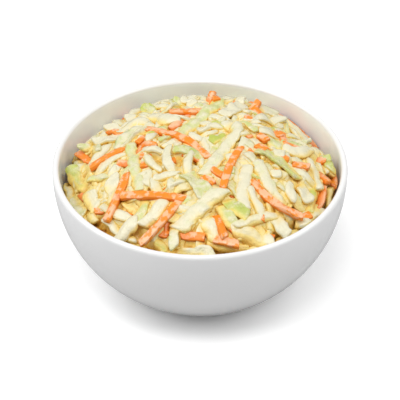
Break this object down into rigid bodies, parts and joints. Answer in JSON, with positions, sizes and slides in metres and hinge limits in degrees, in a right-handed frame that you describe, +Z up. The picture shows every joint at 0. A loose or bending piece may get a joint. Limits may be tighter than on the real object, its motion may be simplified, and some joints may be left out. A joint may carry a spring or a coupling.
{
  "type": "bowl of coleslaw",
  "caption": "Round white porcelain bowl filled with a heap of coleslaw: dressed cabbage and carrot shreds that rise above its rim.",
  "frame": {"origin": "middle of the bowl's foot, on the table", "axes": "+Z up along the bowl's axis; the salad lies lowest against the wall towards -X"},
  "size_m": [0.13, 0.13, 0.0747],
  "materials": {
    "porcelain": "polished",
    "salad": "satin"
  },
  "bodies": {
    "root": {"bowl": "porcelain", "coleslaw": "salad"}
  },
  "joints": []
}
